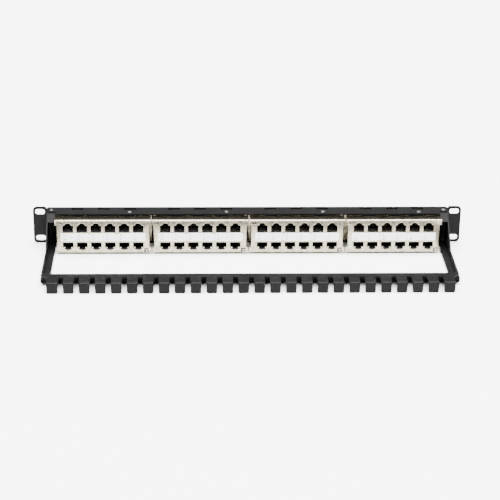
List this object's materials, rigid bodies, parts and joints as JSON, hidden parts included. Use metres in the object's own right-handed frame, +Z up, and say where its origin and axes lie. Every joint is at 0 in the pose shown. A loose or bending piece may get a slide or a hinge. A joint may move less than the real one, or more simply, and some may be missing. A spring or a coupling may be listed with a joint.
{
  "type": "patch panel",
  "caption": "Rack-mount feed-through patch panel with removable shielded cassettes, two rows of network sockets front and rear, and a rear comb that holds the cables.",
  "frame": {"origin": "middle of the width and the depth, at the height of the plate's bottom edge, which is also that of the comb's tips", "axes": "+X along the panel, towards the last ports, +Y from the plate to the cable comb at the rear, +Z up"},
  "size_m": [0.4826, 0.136, 0.0437],
  "materials": {
    "powder_coat": "fine-textured semi-matt black powder coat on folded steel",
    "nickel": "satin nickel plating with a slight warm mottle",
    "spring_steel": "bright rolled spring steel",
    "zinc": "bright zinc-plated screw steel",
    "black_plastic": "satin moulded plastic",
    "green_board": "green solder resist on glass-fibre board",
    "white_card": "matt white label card"
  },
  "bodies": {
    "panel": {"front_panel": "powder_coat", "comb_bar": "powder_coat", "manager_arm_left": "powder_coat", "manager_arm_right": "powder_coat", "manager_screw_left": "zinc", "manager_screw_right": "zinc", "cassette_1_ground_screw": "zinc", "cassette_2_ground_screw": "zinc", "cassette_3_ground_screw": "zinc", "cassette_4_ground_screw": "zinc"},
    "cassette_1": {"cassette_1_rear_shield": "nickel", "cassette_1_front_housing": "nickel", "cassette_1_rear_jacks_upper": "black_plastic", "cassette_1_rear_jacks_lower": "black_plastic", "cassette_1_front_jacks_upper": "black_plastic", "cassette_1_front_jacks_lower": "black_plastic", "cassette_1_circuit_board": "green_board", "cassette_1_label_card": "white_card"},
    "catch_1": {"cassette_1_catch": "spring_steel"},
    "cassette_2": {"cassette_2_rear_shield": "nickel", "cassette_2_front_housing": "nickel", "cassette_2_rear_jacks_upper": "black_plastic", "cassette_2_rear_jacks_lower": "black_plastic", "cassette_2_front_jacks_upper": "black_plastic", "cassette_2_front_jacks_lower": "black_plastic", "cassette_2_circuit_board": "green_board", "cassette_2_label_card": "white_card"},
    "catch_2": {"cassette_2_catch": "spring_steel"},
    "cassette_3": {"cassette_3_rear_shield": "nickel", "cassette_3_front_housing": "nickel", "cassette_3_rear_jacks_upper": "black_plastic", "cassette_3_rear_jacks_lower": "black_plastic", "cassette_3_front_jacks_upper": "black_plastic", "cassette_3_front_jacks_lower": "black_plastic", "cassette_3_circuit_board": "green_board", "cassette_3_label_card": "white_card"},
    "catch_3": {"cassette_3_catch": "spring_steel"},
    "cassette_4": {"cassette_4_rear_shield": "nickel", "cassette_4_front_housing": "nickel", "cassette_4_rear_jacks_upper": "black_plastic", "cassette_4_rear_jacks_lower": "black_plastic", "cassette_4_front_jacks_upper": "black_plastic", "cassette_4_front_jacks_lower": "black_plastic", "cassette_4_circuit_board": "green_board", "cassette_4_label_card": "white_card"},
    "catch_4": {"cassette_4_catch": "spring_steel"}
  },
  "joints": [
    {"name": "cassette_1_slide", "type": "slide", "parent": "panel", "child": "cassette_1", "axis": [0, 1, 0], "range_m": [0, 0.03]},
    {"name": "cassette_2_slide", "type": "slide", "parent": "panel", "child": "cassette_2", "axis": [0, 1, 0], "range_m": [0, 0.03]},
    {"name": "cassette_3_slide", "type": "slide", "parent": "panel", "child": "cassette_3", "axis": [0, 1, 0], "range_m": [0, 0.03]},
    {"name": "cassette_4_slide", "type": "slide", "parent": "panel", "child": "cassette_4", "axis": [0, 1, 0], "range_m": [0, 0.03]},
    {"name": "catch_1_press", "type": "hinge", "parent": "cassette_1", "child": "catch_1", "pos_m": [-0.20965, -0.0351, 0.0125], "axis": [-1, 0, 0], "range_deg": [0, 10], "stiffness_Nm_per_rad": 0.17},
    {"name": "catch_2_press", "type": "hinge", "parent": "cassette_2", "child": "catch_2", "pos_m": [-0.10195, -0.0351, 0.0125], "axis": [-1, 0, 0], "range_deg": [0, 10], "stiffness_Nm_per_rad": 0.17},
    {"name": "catch_3_press", "type": "hinge", "parent": "cassette_3", "child": "catch_3", "pos_m": [0.00575, -0.0351, 0.0125], "axis": [-1, 0, 0], "range_deg": [0, 10], "stiffness_Nm_per_rad": 0.17},
    {"name": "catch_4_press", "type": "hinge", "parent": "cassette_4", "child": "catch_4", "pos_m": [0.11345, -0.0351, 0.0125], "axis": [-1, 0, 0], "range_deg": [0, 10], "stiffness_Nm_per_rad": 0.17}
  ]
}
